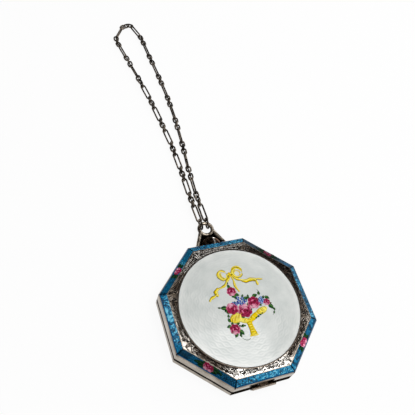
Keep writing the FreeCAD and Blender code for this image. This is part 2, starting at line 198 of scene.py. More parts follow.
def mapped(value, low, high, start, end):
    # low .. high carried to start .. end, held at the ends
    return put("MapRange", {0: value, 1: low, 2: high, 3: start, 4: end}).outputs[0]


def ramp(factor, stops):
    # colour through stops (place, screen colour or linear parts)
    made = put("ValToRGB", {0: factor})
    marks = made.color_ramp.elements
    while len(marks) < len(stops):
        marks.new(0.5)
    for mark, (place, colour) in zip(marks, stops):
        mark.position = place
        mark.color = (*(toLinear(colour) if isinstance(colour, str) else colour), 1)
    return made.outputs[0]


def noise(vector, scale, detail=3.0, rough=0.5):
    # cloudy noise about 0.5, scale waves to the mm
    sockets = {"Vector": vector, "Scale": scale, "Detail": detail, "Roughness": rough}
    return put("TexNoise", sockets).outputs[0]


def mix(factor, first, second, mode="MIX"):
    # first at factor 0, second at factor 1, or their product
    return put("Mix", {0: factor, 6: first, 7: second}, data_type="RGBA", blend_type=mode).outputs[2]


def band(value, low, high):
    # 1 where value lies between low and high
    return times(calc("GREATER_THAN", value, low), calc("LESS_THAN", value, high))


def mottled(name, waves, stops, sockets, *relief):
    # noise (scale, detail, roughness) through colour stops, with relief (strength, distance)
    shader, vector = newFinish(name)[:2]
    grain = noise(vector, *waves)
    sockets["Base Color"] = ramp(grain, stops)
    return finished(shader, sockets, grain if relief else None, *relief)


def lobes(angle, parts):
    # sum of parts (centre, inner, outer, amount): amount within inner degrees of centre, 0 beyond outer
    total = 0.0
    for centre, inner, outer, amount in parts:
        near = calc("COSINE", calc("SUBTRACT", angle, math.radians(centre)))
        total = plus(total, mapped(near, ray(outer)[0], ray(inner)[0], 0.0, amount))
    return total


def lobesAt(degrees, parts):
    # the same sum for one angle in degrees
    total = 0.0
    for centre, inner, outer, amount in parts:
        near, low, high = (ray(a)[0] for a in (degrees - centre, outer, inner))
        total += amount * min(max((near - low) / (high - low), 0.0), 1.0)
    return total


def polar(x, y):
    # radius and angle about the z axis
    return calc("SQRT", plus(times(x, x), times(y, y))), calc("ARCTAN2", y, x)


# silver of the case: screen colours, and parts of lobes
silverLook = dict(
    bright="b1a79a", worn="7b7062", dark="0c0806", hingeWallDark="100a06", blue="041a28", shadedCollar="5a5047", lip="04476e",
    # the palest of the next colours paints a highlight on the sunk ground and on the push piece
    stainDark="0e0907", stainPale="a89c8f", highlightSilver="f0ebe4", roughness=(0.14, 0.34), grain=0.06,
    # next list: angles where the sunk ground and the bright cuts get a painted highlight
    highlightLobes=[(269, 12, 34, 1.0), (194, 8, 22, 0.4), (103, 26, 42, 0.65), (-22, 18, 38, 0.15), (172, 6, 14, 0.2)],
    # first list on the next line: angles where ground, border and bright cuts darken, partly tarnish and partly
    # painted dark reflection
    tarnishAndShade=[(228, 12, 24, 0.7), (28, 26, 40, 0.7)], plainLip=[(215, 76, 78, 1.0)],
)
# where its tone changes, in mm
zones = dict(
    lipFoot=6.87, lipTop=7.6, plainLip=0.36, bevelTop=8.40, mitreHalf=0.28, borderFoot=8.2, borderFrom=21.7,
    groundFoot=8.28, groundTo=22.02, collarFoot=8.46, wallRadius=23.4, hingeWall=-24.5, hingeDarkLow=0.35,
    hingeDarkHigh=4.3,
)


def tint(factor, colour, tone):
    # the named silver tone over colour, by factor
    return mix(factor, colour, (*toLinear(silverLook[tone]), 1))


def lidTones(vector, x, y, z, colour):
    # the lid's zones over the worn silver, one after another
    radius, angle = polar(x, y)
    # offCorner is 0 at a corner and 0.5 in the middle of a side
    turn = calc("FRACT", plus(calc("DIVIDE", angle, math.radians(case["sideAngle"])), case["sides"]))
    offCorner = calc("ABSOLUTE", calc("SUBTRACT", turn, 0.5))
    nearCorner = calc("LESS_THAN", times(offCorner, radius), zones["mitreHalf"])
    offSide = times(calc("SUBTRACT", 0.5, offCorner), math.radians(case["sideAngle"]))
    apothem = times(radius, calc("COSINE", offSide))
    # collar tinted brown-grey as painted shade; the enamel runs on over the lip, on the near sides only half way
    colour = tint(calc("GREATER_THAN", z, zones["collarFoot"]), colour, "shadedCollar")
    plain = lobes(angle, silverLook["plainLip"])
    lipFoot = calc("MULTIPLY_ADD", plain, zones["plainLip"], zones["lipFoot"])
    colour = tint(band(z, lipFoot, zones["lipTop"]), colour, "lip")
    # dark lines where two bevels meet
    onBevel = band(z, zones["lipFoot"], zones["bevelTop"])
    colour = tint(times(nearCorner, onBevel), colour, "blue")
    # tarnish on the ground, with a painted highlight of bright silver in its place at the first lobes; at the
    # second lobes the ground and plain border darken, partly tarnish and partly painted dark reflection
    inside = calc("LESS_THAN", apothem, zones["groundTo"])
    ground = times(band(z, zones["groundFoot"], zones["collarFoot"]), inside)
    highlightLobes = lobes(angle, silverLook["highlightLobes"])
    speckle = noise(vector, 1.25, 3, 0.6)
    stain = ramp(speckle, [(0.42, silverLook["stainDark"]), (0.64, silverLook["stainPale"])])
    highlightGround = ramp(speckle, [(0.42, silverLook["stainDark"]), (0.52, silverLook["highlightSilver"])])
    tarnishAndShade = lobes(angle, silverLook["tarnishAndShade"])
    beyond = calc("GREATER_THAN", apothem, zones["borderFrom"])
    border = times(band(z, zones["borderFoot"], zones["collarFoot"]), beyond)
    colour = tint(times(border, tarnishAndShade), colour, "stainDark")
    stain = tint(tarnishAndShade, stain, "stainDark")
    return mix(ground, colour, mix(highlightLobes, stain, highlightGround))


def wallTones(vector, x, y, z, colour):
    # dirt and painted shadow along the joint of base and lid, fading unevenly above and below
    away = calc("ABSOLUTE", calc("SUBTRACT", z, case["seam"] - 0.2))
    away = plus(away, calc("MULTIPLY_ADD", noise(vector, 0.9, 3, 0.6), 0.7, -0.35))
    onWall = calc("GREATER_THAN", polar(x, y)[0], zones["wallRadius"])
    jointDirtAndShadow = times(mapped(away, 0.85, 0.45, 0.0, 1.0), onWall)
    colour = tint(jointDirtAndShadow, colour, "dark")
    # the wall behind the hinge is darker nearly down to the foot
    behind = times(band(z, zones["hingeDarkLow"], zones["hingeDarkHigh"]), calc("LESS_THAN", y, zones["hingeWall"]))
    colour = tint(times(behind, 0.96), colour, "hingeWallDark")
    return colour, calc("MAXIMUM", jointDirtAndShadow, behind)


def silverFinish(name, lid=False, outside=True, bright=silverLook["bright"], worn=silverLook["worn"]):
    # 0.65 of large clouds and 0.35 of fine grain; the joint's dirt and painted shadow and the darker hinge-side
    # wall are not metallic
    shader, vector, x, y, z = newFinish(name)
    cloud = noise(vector, 0.22, 5, 0.6)
    fine = noise(vector, 3.2, 4, 0.65)
    wear = plus(times(cloud, 0.65), times(fine, 0.35))
    colour = ramp(wear, [(0.36, worn), (0.62, bright)])
    metal = 1.0
    if lid:
        colour = lidTones(vector, x, y, z, colour)
    if outside:
        colour, dirtAndShade = wallTones(vector, x, y, z, colour)
        metal = calc("SUBTRACT", 1.0, dirtAndShade)
    rough = mapped(fine, 0.3, 0.7, *silverLook["roughness"])
    sockets = {"Base Color": colour, "Metallic": metal, "Roughness": rough, "Specular IOR Level": 0.0}
    return finished(shader, sockets, fine, silverLook["grain"], 0.0002)


caseSilver = silverFinish("caseSilver")
lidSilver = silverFinish("lidSilver", lid=True)

# chain, lug, push piece and hinge
chainLook = dict(
    chainSilver=dict(dark="1f1a15", light="82776b"),
    # the lug below z 1.4 takes the darkest silver tone: painted shade over the web between the legs
    lugSilver=dict(dark="352b23", light="c6baa9", zone=(2, 0.0, 1.4, "dark")),
    # the push piece's bright stripe is a painted highlight
    pushSilver=dict(dark="120b08", light="5e4a3d", highlightAt=1.35, roughness=0.2),
    hingeSilver=dict(dark="0b0806", light="30271f", zone=(1, -27.0, -25.42, "stainPale")),
)
# half width of the push piece's painted highlight
highlightHalf = 0.45


def chainFinish(name, dark, light, zone=None, highlightAt=None, roughness=0.3):
    # patchy silver between dark and light
    shader, vector, x, y, z = newFinish(name)
    colour = ramp(noise(vector, 0.55, 4, 0.6), [(0.42, dark), (0.64, light)])
    if zone:
        # another tone from low to high along x, y or z (0, 1 or 2)
        axis, low, high, tone = zone
        colour = tint(band((x, y, z)[axis], low, high), colour, tone)
    if highlightAt:
        # a painted highlight stripe: 1 less the distance from its centre on x over its half width
        away = calc("ABSOLUTE", calc("SUBTRACT", x, highlightAt))
        colour = tint(calc("MULTIPLY_ADD", away, -1 / highlightHalf, 1.0), colour, "highlightSilver")
    sockets = {"Base Color": colour, "Metallic": 1.0, "Roughness": roughness}
    return finished(shader, sockets, noise(vector, 6.0, 3), 0.05, 0.0002)


chainSilver, lugSilver, pushSilver, hingeSilver = (chainFinish(name, **look) for name, look in chainLook.items())
print("silver finishes made")

# white engine-turned disc
discLook = dict(
    shade="c5cbc8", light="e9ebe8", ringPitch=1.2, waves=26, sway=1.7, edge=19.3, edgeFade=1.2,
    rings=70, around=288, edgeRows=4, rim=0.03,
)


def discHeight(radius):
    # spherical crown: the crown's centre is discCrown above its edge
    sphere = (case["discRadius"] ** 2 + case["discCrown"] ** 2) / (2 * case["discCrown"])
    return case["discTop"] - sphere + np.sqrt(sphere ** 2 - np.asarray(radius, float) ** 2)


def makeDisc():
    # turned profile: flat underside, straight edge, crown back to the axis
    r, foot, rim = case["discRadius"], case["discFoot"], discLook["rim"]
    rows = discLook["edgeRows"]
    edge = np.linspace(foot, float(discHeight(r)) - rim, rows)
    crownRadius = np.concatenate([np.linspace(r - rim, r - 0.5, 6), np.linspace(r - 0.9, 0, discLook["rings"])])
    under = np.stack([np.array([0, r * 0.5, r * 0.98]), np.full(3, foot)], -1)
    side = np.stack([np.full(rows, r), edge], -1)
    crown = np.stack([crownRadius, discHeight(crownRadius)], -1)
    return makeMesh("enamelDisc", *spin(np.concatenate([under, side, crown]), discLook["around"]))


def discFinish():
    # engine turning: rings that sway with the angle, each half a wave after the last
    shader, vector, x, y = newFinish("whiteEnamel")[:4]
    radius, angle = polar(x, y)
    ring = calc("DIVIDE", radius, discLook["ringPitch"])
    late = times(calc("FLOOR", ring), math.pi)
    sway = calc("SINE", plus(times(angle, float(discLook["waves"])), late))
    phase = plus(times(ring, 2 * math.pi), times(sway, discLook["sway"]))
    # the cuts show more in some places; most towards the hinge's left is painted light, where light would show them
    # up
    showing = mapped(noise(vector, 0.16, 2, 0.5), 0.4, 0.66, 0.15, 1.0)
    lit = calc("MULTIPLY_ADD", x, 0.5, times(y, 0.85))
    showing = times(showing, mapped(lit, -13.0, 4.0, 1.0, 0.3))
    cut = times(calc("SINE", phase), showing)
    cloud = noise(vector, 0.2, 4, 0.6)
    rim = mapped(radius, discLook["edge"] - discLook["edgeFade"], discLook["edge"], 0.0, 0.22)
    tone = plus(calc("MULTIPLY_ADD", cut, 0.24, 0.45), calc("MULTIPLY_ADD", cloud, 0.9, -0.45))
    colour = ramp(plus(tone, rim), [(0.15, discLook["shade"]), (0.85, discLook["light"])])
    sockets = {"Base Color": colour, "Roughness": 0.32, "Specular IOR Level": 0.4, "Coat Weight": 0.35,
               "Coat Roughness": 0.08}
    return finished(shader, sockets, cut, 0.06, 0.0001)


addPiece("enamelDisc", makeDisc(), discFinish(), "lid", ["white_enamel_disc"])

seamLook = dict(width=0.13, rise=0.08, lift=0.01, colour="18110d", around=288, sides=8)


def makeSeam():
    # a thin dark oval carried round the disc's edge: partly tarnish in the joint, partly painted shadow of the
    # bezel
    around, sides = seamLook["around"], seamLook["sides"]
    v = np.arange(sides) * 2 * np.pi / sides
    u = np.arange(around) * 2 * np.pi / around
    radius = case["discRadius"] + seamLook["width"] * np.cos(v)
    height = float(discHeight(case["discRadius"])) + seamLook["lift"] + seamLook["rise"] * np.sin(v)
    points = np.stack([np.outer(np.cos(u), radius), np.outer(np.sin(u), radius), np.tile(height, (around, 1))], -1)
    return makeMesh("discSeam", points.reshape(-1, 3), gridQuads(around, sides, closed=True))


def plainFinish(name, colour, roughness):
    # one colour, mottled from 0.7 to 1.25 times itself
    base = toLinear(colour)
    return mottled(name, (1.7, 3), [(0.3, base * 0.7), (0.7, base * 1.25)], {"Roughness": roughness})


addPiece("discSeam", makeSeam(), plainFinish("seamTarnishAndShadow", seamLook["colour"], 0.7), "lid")
print("disc made")

# painted and engraved strokes: flattened tubes that taper to a point at both ends
strokeRows, strokeSides, strokeThick = 13, 6, 0.012
alongStroke = np.linspace(0, 1, strokeRows)


def dabPath(x, y, angle, length, bend=0.0):
    # a short run through (x, y) along angle, bowed sideways by bend
    t = np.linspace(-0.5, 0.5, strokeRows)
    run, bow = t * length, bend * (0.25 - t * t) * 4
    c, s = ray(angle)
    return np.stack([x + run * c - bow * s, y + run * s + bow * c], -1)


def throughPoints(points):
    # a cubic through each four neighbours, even in the points' count
    points = np.asarray(points, float)
    n = len(points)
    t = np.linspace(0, n - 1, strokeRows)
    i = np.clip(t.astype(int), 0, n - 2)
    f = (t - i)[:, None]
    p0, p1, p2, p3 = (points[np.clip(i + k, 0, n - 1)] for k in (-1, 0, 1, 2))
    square, cube = 2 * p0 - 5 * p1 + 4 * p2 - p3, 3 * p1 - p0 - 3 * p2 + p3
    return 0.5 * (2 * p1 + (p2 - p0) * f + square * f ** 2 + cube * f ** 3)


def taper(width, power=0.6, lean=0.5):
    # half widths along a stroke, zero at both ends and fullest at lean
    eased = alongStroke ** (math.log(0.5) / math.log(lean))
    return width * np.sin(np.pi * np.clip(eased, 0, 1)) ** power


def stroke(path, width, colour, tail=None, lift=0.012):
    # a path with half widths and height; its colour runs evenly to tail
    start, end = toLinear(colour), toLinear(tail or colour)
    return dict(path=path, width=width, colour=start + (end - start) * alongStroke[:, None], lift=lift)


def dab(run, half, power, colour, tail=None, lift=0.012):
    # a stroke along a dabPath
    return stroke(dabPath(*run), taper(half, power), colour, tail, lift)


def arc(run, half, colour, tail=None, lift=0.012, power=0.6):
    # a stroke along part of a circle (x, y, radius, start and end in degrees)
    x, y, radius, start, end = run
    turn = np.radians(np.linspace(start, end, strokeRows))
    path = np.stack([x + radius * np.cos(turn), y + radius * np.sin(turn)], -1)
    return stroke(path, taper(half, power), colour, tail, lift)


def sideways(path):
    # unit vectors to the left of a path
    run = np.gradient(path, axis=-2)
    run /= np.linalg.norm(run, axis=-1, keepdims=True) + 1e-12
    return np.stack([-run[..., 1], run[..., 0]], -1)


def strokeMesh(name, strokes, place):
    # rings of strokeSides points about each path, closed by a pole at each end
    path, width, colour, lift = (np.stack([s[key] for s in strokes]) for key in ("path", "width", "colour", "lift"))
    width, lift = width[..., None], lift[:, None, None]
    v = np.arange(strokeSides) * 2 * np.pi / strokeSides
    aside = sideways(path)[:, 1:-1, None, :] * (width[:, 1:-1, None] * np.cos(v)[:, None])
    flat = path[:, 1:-1, None, :] + aside
    height = np.broadcast_to(lift[..., None] + strokeThick * np.sin(v)[:, None], flat.shape[:3] + (1,))
    rings = np.concatenate([flat, height], -1).reshape(len(strokes), -1, 3)
    poles = np.concatenate([path[:, [0, -1]], np.broadcast_to(lift, (len(strokes), 2, 1))], -1)
    quads, tris = (faces[:, ::-1] for faces in tubeFaces(strokeRows - 2, strokeSides))
    points = np.concatenate([rings, poles], 1)
    paint = np.concatenate([np.repeat(colour[:, 1:-1], strokeSides, 1), colour[:, [0, -1]]], 1)
    step = np.arange(len(strokes))[:, None, None] * points.shape[1]
    quads, tris = (quads + step).reshape(-1, 4), (tris + step).reshape(-1, 3)
    return makeMesh(name, place(points.reshape(-1, 3)), quads, tris, paint.reshape(-1, 3))


def onDisc(local):
    # own height added to that of the disc's crown
    x, y, lift = local.T
    return np.stack([x, y, discHeight(np.hypot(x, y)) + lift], -1)


def paintFinish(name, roughness=0.38, metallic=0.0, strength=1.0):
    # each stroke's own colour times strength, speckled
    shader, vector = newFinish(name)[:2]
    own = put("Attribute", attribute_name="paint").outputs["Color"]
    speck = mapped(noise(vector, 2.6, 3), 0.3, 0.7, 0.82 * strength, 1.15 * strength)
    colour = mix(1.0, own, speck, "MULTIPLY")
    sockets = {"Base Color": colour, "Roughness": roughness, "Metallic": metallic, "Specular IOR Level": 0.05}
    return finished(shader, sockets)


enamelPaint = paintFinish("enamelPaint")

roseLook = dict(ground="b02c58", deep="52041f", mid="92143e", light="e47ea4", pale="f8cbd9")
rosePetals = 7


def roseStrokes(x, y, r, turn, front=255):
    # ground, petals with folds, arcs, heart and petal edges, pale towards front; lengths are shares of r
    ground, deep, mid, light, pale = roseLook.values()
    made = [dab((x, y, turn, 2.0 * r), r, 0.5, ground, lift=0.01)]
    for k in range(rosePetals):
        a = turn + 360 * k / rosePetals
        c, s = ray(a)
        facing = ray(a - front)[0]
        tone = pale if facing > 0.75 else light if facing > -0.2 else mid
        made.append(arc((x + 0.6 * r * c, y + 0.6 * r * s, 0.42 * r, a - 85, a + 85), 0.17 * r, tone, ground, 0.02))
        fold = (x + 0.56 * r * c, y + 0.56 * r * s, 0.24 * r, a - 75, a + 75)
        made.append(arc(fold, 0.095 * r, deep, mid, 0.023))
    for k in range(5):
        a = turn + 40 + 72 * k
        made.append(arc((x, y, 0.46 * r, a - 30, a + 42), 0.12 * r, (deep, light, mid)[k % 3], lift=0.026))
    made.append(dab((x, y, turn, 0.6 * r), 0.26 * r, 0.5, mid, lift=0.028))
    for k in range(3):
        a = turn + 120 * k
        made.append(arc((x + 0.05 * r, y, 0.22 * r, a, a + 105), 0.1 * r, deep, mid, 0.032))
    lean = front + 0.2 * (turn - 60)
    for share, spread, tone in ((0.34, 62, light), (0.58, 58, pale), (0.8, 48, pale)):
        made.append(arc((x, y, share * r, lean - spread, lean + spread), 0.1 * r, tone, light, 0.036, 0.8))
    return made


leafLook = dict(night="061a12", dark="0a2a16", mid="20602c", light="74a64a", nightSheen="184a28")


def leafStrokes(x, y, angle, length, plump, tone):
    # pointed leaf, plump times its length to either side, with a paler half and a dark rib
    rib = dabPath(x, y, angle, length, 0.08 * length)
    half = plump * length
    pale = rib + np.array(ray(angle + 90)) * half * 0.22
    sheen = leafLook["nightSheen" if tone == "night" else "light"]
    return [
        stroke(rib, taper(half, 0.8, 0.4), leafLook[tone], leafLook["dark"]),
        stroke(pale, taper(half * 0.34, 0.8), sheen, leafLook["mid"], lift=0.018),
        stroke(rib, taper(half * 0.14), leafLook["dark"], lift=0.022),
    ]


# forget-me-nots, paler beyond x = paleFrom
blueFlower = dict(
    near=("2a50b8", "7fa8ea", "14246e"), far=("5a8fe0", "a8ccf6", "2c56b4"), rim="2a3f93", eye="f0d868",
    paleFrom=5, spread=1.15,
)


def blueStrokes(x, y, r):
    # five round petals and an eye; lengths are shares of r times spread
    tones = blueFlower["far" if x > blueFlower["paleFrom"] else "near"]
    r = blueFlower["spread"] * r
    made = []
    for k in range(5):
        a = 18 + 72 * k
        c, s = ray(a)
        petal = (x + 0.55 * r * c, y + 0.55 * r * s, a, 0.8 * r)
        made.append(dab(petal, 0.36 * r, 0.5, tones[k % 3], blueFlower["rim"], 0.02))
    return made + [dab((x, y, 0, 0.36 * r), 0.17 * r, 0.5, blueFlower["eye"], lift=0.028)]


ribbonLook = dict(
    gold="efd000", pale="fbf07a", straw="b28c0e", wheat="d9b01c", ochre="9a7e0c", olive="5a6014", knot="e4b60a",
)


def ribbonStrokes(points, width, folds):
    # silk band that narrows with each fold: gold, ochre edge, pale sheen
    path = throughPoints(points)
    half = taper(1.3 * width, 0.25) * (0.62 + 0.38 * np.abs(np.cos(np.pi * folds * alongStroke)))
    across = sideways(path) * half[:, None]
    return [
        stroke(path, half, ribbonLook["gold"]),
        stroke(path - across * 0.75, half * 0.28, ribbonLook["ochre"], ribbonLook["olive"], lift=0.017),
        stroke(path + across * 0.35, half * 0.32, ribbonLook["pale"], lift=0.02),
    ]


def ovalPoints(x, y, halfWide, halfHigh, tilt, start, end):
    # nine points of a tilted oval, from start to end in degrees
    turn = np.radians(np.linspace(start, end, 9))
    c, s = ray(tilt)
    u, v = halfWide * np.cos(turn), halfHigh * np.sin(turn)
    return np.stack([x + u * c - v * s, y + u * s + v * c], -1)


# a ribbon bow over a basket of mixed flowers, in mm from the disc's centre
bouquet = dict(
    # x, y, radius, turn and lit side
    roses=[
        (-1.65, 4.95, 1.4, 30, 280), (-3.4, -0.75, 1.75, 10, 110), (0.55, -2.3, 2.05, 75, 85),
        (4.35, -0.35, 1.85, 130, 250), (8.8, -1.1, 1.05, 20, 255), (-4.7, -7.5, 1.5, 50, 265),
    ],
    # x, y, radius
    blues=[
        (-0.4, 2.3, 0.62), (1.0, 1.8, 0.62), (-0.4, 0.95, 0.78), (1.05, 0.45, 0.66), (-1.6, 0.5, 0.62),
        (0.1, -0.1, 0.6), (-2.4, 0.95, 0.5), (1.9, 0.9, 0.55), (6.85, 0.3, 0.66), (7.7, -0.15, 0.6),
        (7.0, -0.85, 0.58), (7.35, 0.75, 0.52), (6.3, -0.3, 0.5),
    ],
    # x, y, angle, length
    leaves=[
        (-1.9, 6.9, 100, 1.3), (-2.0, 8.2, 80, 0.9), (-1.4, 3.3, 190, 1.5), (-0.3, 3.4, 330, 1.4),
        (2.2, 1.5, 20, 1.7), (5.6, 1.8, 15, 1.6), (7.3, 2.5, 80, 1.2), (9.4, 0.3, 330, 1.5),
        (3.3, 1.6, 100, 1.0), (-6.0, 0.2, 170, 1.9), (-7.5, 0.5, 165, 0.8), (-5.6, -0.9, 215, 1.2),
        (9.6, -2.9, 300, 1.9), (10.4, -3.9, 285, 0.9), (9.9, -5.0, 250, 0.8), (-6.4, -6.1, 200, 1.3),
        (-5.0, -9.3, 235, 1.5), (-3.1, -9.0, 310, 1.9), (-3.6, -9.9, 285, 1.0), (-5.5, -4.2, 105, 1.3),
        (-5.3, -2.9, 75, 1.0), (-5.2, -1.7, 150, 1.0), (-1.9, 0.9, 70, 1.0), (2.4, -0.5, 60, 1.1),
        (-1.5, -2.5, 250, 1.0), (6.2, -1.6, 330, 1.1), (5.9, 0.7, 100, 1.0), (1.5, 2.7, 60, 0.9),
        (-1.0, 2.5, 130, 1.0), (3.3, 2.3, 80, 0.9), (8.3, 0.8, 60, 1.0), (9.9, -1.8, 20, 0.9),
        (-4.9, -5.5, 60, 1.0), (-3.1, -6.1, 20, 1.0), (-5.9, -8.2, 200, 0.9), (-2.0, -6.9, 195, 1.2),
        (-2.9, -6.7, 180, 0.7), (-1.2, -7.1, 200, 0.6), (3.3, -5.4, 200, 0.7), (4.2, -5.1, 200, 0.8),
        (5.1, -4.8, 350, 0.7), (5.9, -4.4, 20, 0.6), (-0.8, -4.1, 180, 1.1), (2.6, -2.6, 40, 1.1),
    ],
    tendrils=[
        [(-3.5, -10.6), (-2.5, -11.5), (-1.5, -11.7), (-0.7, -11.3)], [(7.2, 2.3), (7.3, 3.2), (7.0, 3.9)],
        [(10.3, -3.3), (10.3, -4.8), (9.2, -5.8)],
    ],
    # ovalPoints, width, folds: broad loops, then thin lines within them
    loops=[
        ((-2.55, 11.2, 1.45, 1.75, 20, 0, 360), 0.44, 2), ((2.65, 11.15, 1.75, 1.7, -10, 0, 360), 0.42, 2),
        ((-2.3, 11.0, 0.75, 1.25, 28, 50, 330), 0.2, 3), ((2.45, 10.95, 1.05, 1.0, -10, -60, 240), 0.2, 3),
    ],
    # points, width, folds: beside the loops, across the knot, then the tails
    bands=[
        ([(-4.35, 12.2), (-4.4, 11.1), (-3.7, 9.9), (-2.8, 9.1)], 0.24, 2),
        ([(0.9, 11.7), (1.3, 12.8), (2.5, 13.5), (3.8, 13.1), (4.7, 11.9)], 0.26, 3),
        ([(-1.2, 10.6), (-0.3, 11.1), (0.2, 11.2), (0.9, 11.1)], 0.5, 1),
        ([(0.2, 11.3), (-0.5, 10.0), (-1.9, 8.8), (-3.0, 7.5), (-4.4, 7.0), (-5.7, 6.8)], 0.4, 3),
        ([(-5.4, 7.0), (-6.6, 6.2), (-6.8, 5.3), (-6.4, 4.2)], 0.6, 2),
        ([(-6.4, 5.2), (-7.6, 4.5), (-9.0, 4.0), (-9.8, 3.1)], 0.4, 2),
        ([(0.4, 10.7), (1.2, 9.4), (2.6, 8.4), (4.6, 7.8)], 0.38, 2),
        ([(2.8, 8.2), (4.5, 7.5), (6.2, 7.75), (7.6, 7.45), (8.6, 7.4)], 0.62, 4),
        ([(7.4, 7.9), (7.9, 7.2), (8.1, 6.2), (8.1, 5.2)], 0.45, 1),
        ([(7.6, 7.5), (8.8, 7.5), (9.8, 7.2), (10.5, 7.1)], 0.3, 2),
        ([(0.2, 10.6), (0.4, 8.5), (0.25, 6.7), (0.7, 5.1), (1.1, 4.2)], 0.36, 2),
    ],
)


def basketStrokes():
    # two full sides, a woven stem and a spread foot, hatched
    gold, pale, straw, wheat = list(ribbonLook.values())[:4]
    stemHalf = np.interp(alongStroke, [0, 0.05, 0.35, 0.7, 0.9, 1], [0, 1.2, 0.85, 0.95, 1.3, 0])
    made = [
        dab((-3.0, -4.5, 15, 4.6, 0.4), 1.75, 0.5, gold, pale, 0.008),
        dab((6.0, -3.35, 16, 4.6, -0.2), 1.15, 0.55, gold, pale, 0.008),
        dab((2.4, -4.9, 32, 4.6, -0.2), 0.95, 0.5, gold, gold, 0.008),
        dab((-0.6, -5.4, -12, 3.4, -0.1), 0.9, 0.5, pale, gold, 0.008),
        stroke(throughPoints([(0.5, -5.2), (0.6, -7.2), (0.75, -9.0), (0.85, -11.1)]), stemHalf, gold, lift=0.008),
        dab((0.75, -10.75, -2, 3.2, 0.12), 0.36, 0.4, gold, pale),
    ]
    # rungs of the stem, then hatching of left side, right side and middle
    hatch = []
    for k in range(12):
        half = 0.72 + 0.035 * max(0, k - 5) ** 1.3
        run = (0.6 + 0.02 * k, -5.9 - 0.42 * k, 14 if k % 2 else -14, 1.9 * half, 0.05)
        hatch.append((run, 0.07, 0.5, (pale, straw)[k % 2]))
    for k in range(9):
        run = (-4.4 + 0.42 * k, -4.5 + 0.12 * k, 62, 2.4 - 0.12 * abs(k - 4), 0.15)
        hatch.append((run, 0.1, 0.6, (straw, pale, wheat)[k % 3]))
    for k in range(8):
        run = (4.1 + 0.52 * k, -3.9 + 0.16 * k, 118, 1.7 - 0.1 * abs(k - 4), 0.12)
        hatch.append((run, 0.09, 0.6, (pale, straw, wheat)[k % 3]))
    for k in range(7):
        run = (-1.2 + 0.62 * k, -5.5 + 0.1 * k, 48 if k % 2 else 130, 1.3, 0.05)
        hatch.append((run, 0.08, 0.6, (pale, straw)[k % 2]))
    return made + [dab(*row, lift=0.018) for row in hatch]


def bouquetStrokes():
    # basket, bow, tendrils, leaves, blue flowers and roses
    made = basketStrokes()
    for oval, width, folds in bouquet["loops"]:
        made += ribbonStrokes(ovalPoints(*oval), width, folds)
    for points, width, folds in bouquet["bands"]:
        made += ribbonStrokes(points, width, folds)
    made.append(dab((-0.1, 11.05, 100, 1.8, 0.1), 0.55, 0.5, ribbonLook["knot"], ribbonLook["gold"], 0.022))
    for points in bouquet["tendrils"]:
        made.append(stroke(throughPoints(points), taper(0.09, 0.4), leafLook["mid"], leafLook["dark"], 0.014))
    for x, y, angle, length in bouquet["leaves"]:
        made += leafStrokes(x, y, angle, 1.2 * length, 0.34, "mid" if length > 1.2 else "dark")
    for flower in bouquet["blues"]:
        made += blueStrokes(*flower)
    for flower in bouquet["roses"]:
        made += roseStrokes(*flower)
    return made


painted = strokeMesh("paintedBouquet", bouquetStrokes(), onDisc)
addPiece("paintedBouquet", painted, enamelPaint, "lid")
print("bouquet painted")

# blue enamel; some stretches are painted paler or deeper as light and shade, some carry painted reflection streaks
blueLook = dict(
    # stops run from deep through mid and sky to a painted glint, which the palest flakes reach
    stops=[(0.3, "012f46"), (0.5, "006a98"), (0.68, "0092c4"), (0.76, "74cdea")],
    # the next two lists shift the tone by angle: painted light and shade of reflections on each side
    plain=[(7, 6, 14, -0.1), (96, 8, 18, -0.12), (172, 5, 12, 0.06), (290, 2, 8, 0.1)],
    rose=[
        (122, 10, 18, 0.18), (138, 14, 22, 0.1), (157, 4, 10, 0.08), (315, 18, 24, 0.08), (225, 14, 22, -0.06),
        (246, 2, 6, 0.08), (50, 18, 24, -0.2),
    ],
    reflectionStreaks=[(178, 10, 20, 1.0), (333, 4, 12, 0.7), (297, 4, 12, 0.7)],
)


def blueFinish(name, shift, flakes, parts):
    # 0.72 of a cloud, shift, flakes times each flake's shade, and parts
    shader, vector, x, y = newFinish(name)[:4]
    cloud = noise(vector, 0.16, 3, 0.55)
    flake = put("TexVoronoi", {"Vector": vector, "Scale": 2.8}, feature="F1").outputs["Color"]
    shade = put("SeparateColor", {0: flake}).outputs[0]
    tone = plus(calc("MULTIPLY_ADD", cloud, 0.72, shift), times(shade, flakes))
    angle = polar(x, y)[1]
    tone = plus(tone, lobes(angle, parts))
    # painted reflection: pale streaks and deep patches
    paintedReflection = mapped(noise(vector, 0.75, 2, 0.5), 0.42, 0.6, -0.16, 0.3)
    tone = plus(tone, times(paintedReflection, lobes(angle, blueLook["reflectionStreaks"])))
    colour = ramp(tone, blueLook["stops"])
    sockets = {"Base Color": colour, "Metallic": 0.7, "Roughness": 0.26, "Coat Weight": 0.2, "Coat Roughness": 0.04}
    return finished(shader, sockets, shade, 0.4, 0.0001)


blueEnamel = blueFinish("blueEnamel", -0.085, 0.5, blueLook["plain"])
deepEnamel = blueFinish("deepEnamel", -0.02, 0.14, blueLook["rose"])


def onBevel(side):
    # a diagonal side's x runs along the bevel, y up its slope and z out of it
    outX, outY = ray(case["sideAngle"] * (1 + 2 * side))
    outward, alongSide, up = np.array([outX, outY, 0]), np.array([-outY, outX, 0]), np.array([0, 0, 1])
    c, s = math.cos(case["bevelTilt"]), math.sin(case["bevelTilt"])
    upSlope, normal = up * s - outward * c, up * c + outward * s
    middle = outward * case["bevelApothem"] + up * case["bevelMiddle"]

    def place(local):
        # the side's middle plus x, y and z times their directions
        return middle + local[:, :1] * alongSide + local[:, 1:2] * upSlope + local[:, 2:] * normal
    return place


